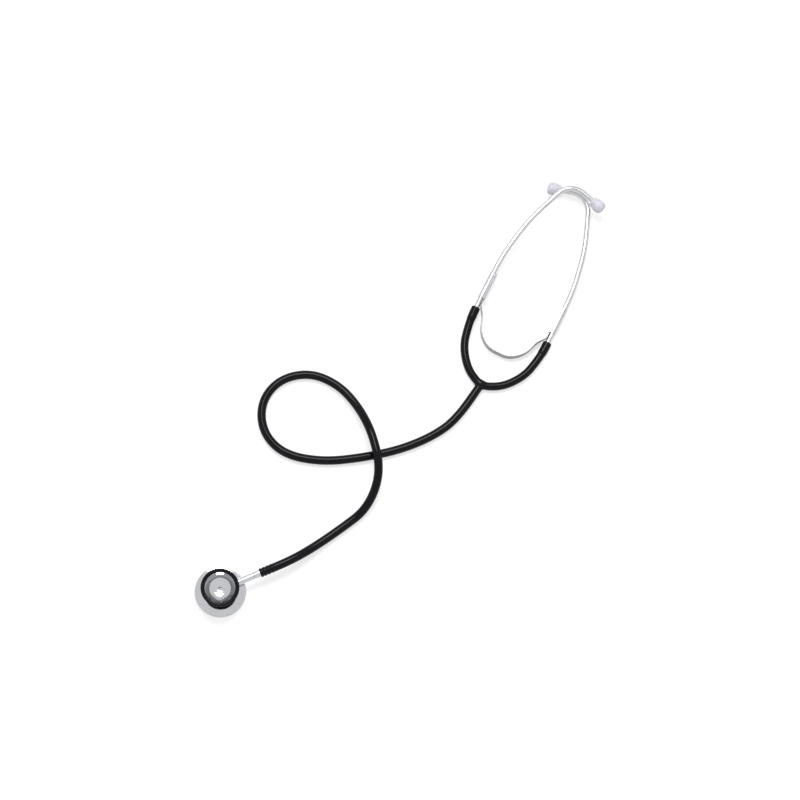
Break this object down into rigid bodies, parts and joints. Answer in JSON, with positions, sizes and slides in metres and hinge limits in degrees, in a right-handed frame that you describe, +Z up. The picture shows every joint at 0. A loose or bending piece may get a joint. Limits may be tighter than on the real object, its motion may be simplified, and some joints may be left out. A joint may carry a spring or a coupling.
{
  "type": "stethoscope",
  "caption": "Dual-head stethoscope: a bell and a diaphragm on one turning chestpiece, looped black tubing, and a sprung headset with bent ear tubes and soft tips.",
  "frame": {"origin": "centre of the flat ring on which the diaphragm side stands, on the table", "axes": "+Z up from the table, out of the bell; +X along the stem, from the chestpiece towards the tubing"},
  "size_m": [0.4819, 0.2566, 0.0259],
  "materials": {
    "chrome": "mirror polished plating",
    "chrome_tube": "bright plating on drawn tube",
    "black_pvc": "smooth glossy moulded vinyl",
    "rim_rubber": "satin rubber",
    "seal_rubber": "matt",
    "spring_steel": "satin, rolled",
    "hardened_steel": "ground",
    "brass_thread": "cut",
    "frosted_tip": "frosted, slightly translucent",
    "diaphragm_resin": "smooth sheet"
  },
  "bodies": {
    "tubing": {"stem": "chrome", "stem_o_rings": "seal_rubber", "tube_end_cuff": "black_pvc", "main_tube": "black_pvc", "yoke": "black_pvc", "arm_tube_left": "black_pvc", "arm_tube_right": "black_pvc", "spring_strip": "spring_steel"},
    "head": {"chestpiece_body": "chrome", "bell_rim": "rim_rubber", "retaining_ring": "chrome", "diaphragm": "diaphragm_resin", "detent_ball": "hardened_steel", "detent_spring": "hardened_steel", "detent_screw": "hardened_steel"},
    "ear_left": {"ear_tube_left": "chrome_tube", "ear_tip_ferrule_left": "brass_thread", "spring_clamp_left": "chrome_tube"},
    "ear_right": {"ear_tube_right": "chrome_tube", "ear_tip_ferrule_right": "brass_thread", "spring_clamp_right": "chrome_tube"},
    "tip_left": {"ear_tip_left": "frosted_tip"},
    "tip_right": {"ear_tip_right": "frosted_tip"}
  },
  "joints": [
    {"name": "head_turn", "type": "hinge", "parent": "tubing", "child": "head", "pos_m": [0, 0, 0.013], "axis": [1, 0, 0], "continuous": true},
    {"name": "spread_left", "type": "hinge", "parent": "tubing", "child": "ear_left", "pos_m": [0.30334, 0.12526, 0.00375], "axis": [0, 0, 1], "range_deg": [0, 30], "stiffness_Nm_per_rad": 1, "deforming": ["arm_tube_left", "spring_strip"]},
    {"name": "spread_right", "type": "hinge", "parent": "tubing", "child": "ear_right", "pos_m": [0.33244, 0.09093, 0.00375], "axis": [0, 0, -1], "range_deg": [0, 30], "stiffness_Nm_per_rad": 1, "deforming": ["arm_tube_right", "spring_strip"]},
    {"name": "ear_tip_left_turn", "type": "hinge", "parent": "ear_left", "child": "tip_left", "pos_m": [0.45304, 0.1955, 0.01796], "axis": [0.4123, -0.9107, -0.0238], "continuous": true},
    {"name": "ear_tip_right_turn", "type": "hinge", "parent": "ear_right", "child": "tip_right", "pos_m": [0.42665, 0.22754, 0.00602], "axis": [-0.8319, 0.5549, -0.0038], "continuous": true}
  ]
}
